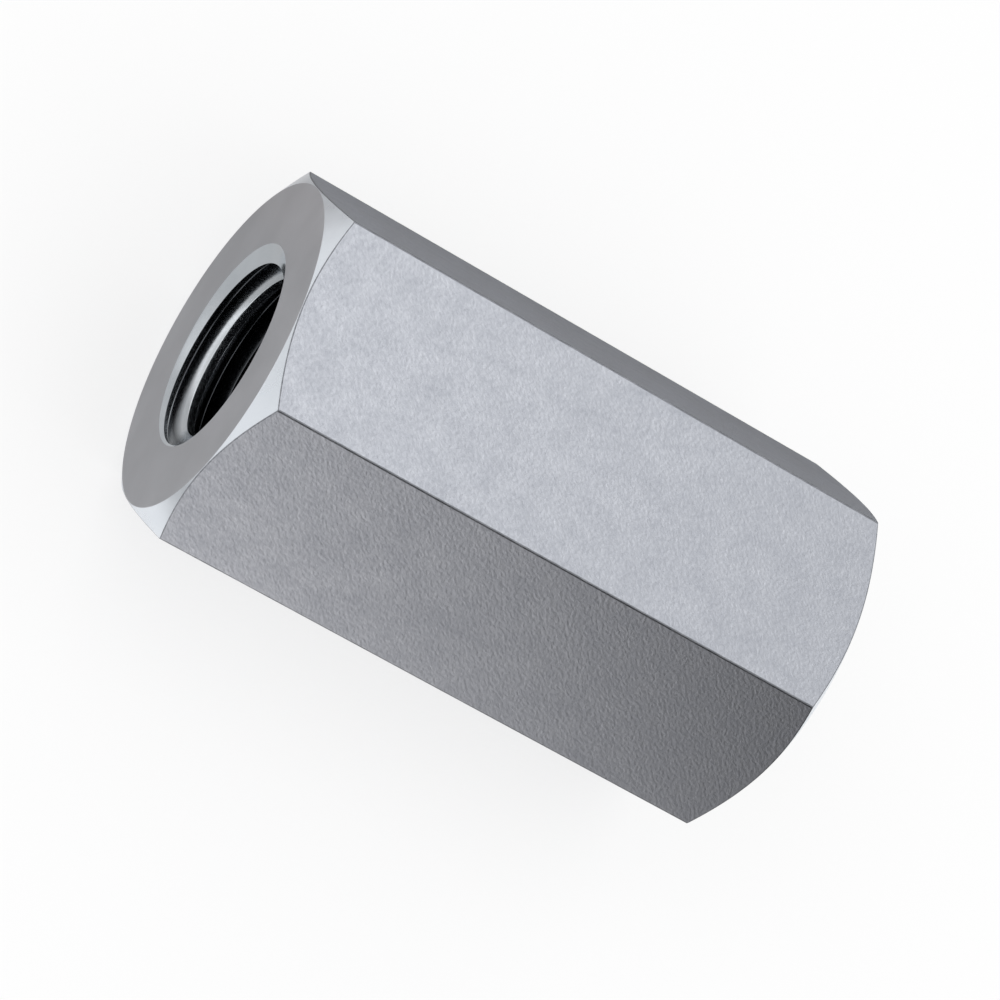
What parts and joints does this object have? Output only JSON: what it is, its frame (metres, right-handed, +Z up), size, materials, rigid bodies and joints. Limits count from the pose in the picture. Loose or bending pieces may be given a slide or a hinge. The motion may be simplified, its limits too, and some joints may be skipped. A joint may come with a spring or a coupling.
{
  "type": "coupling nut",
  "caption": "Long hexagonal coupling nut with a right-hand through thread, countersunk mouths and chamfered ends, for joining threaded rods end to end.",
  "frame": {"origin": "on the thread axis, at the middle of the nut's length", "axes": "+X along the thread axis, +Z up out of the top flat; the nut lies on the opposite flat"},
  "size_m": [0.024, 0.015, 0.013],
  "materials": {
    "zinc_plated_steel": "bright zinc plate with a fine satin grain"
  },
  "bodies": {
    "root": {"coupling_nut": "zinc_plated_steel"}
  },
  "joints": []
}
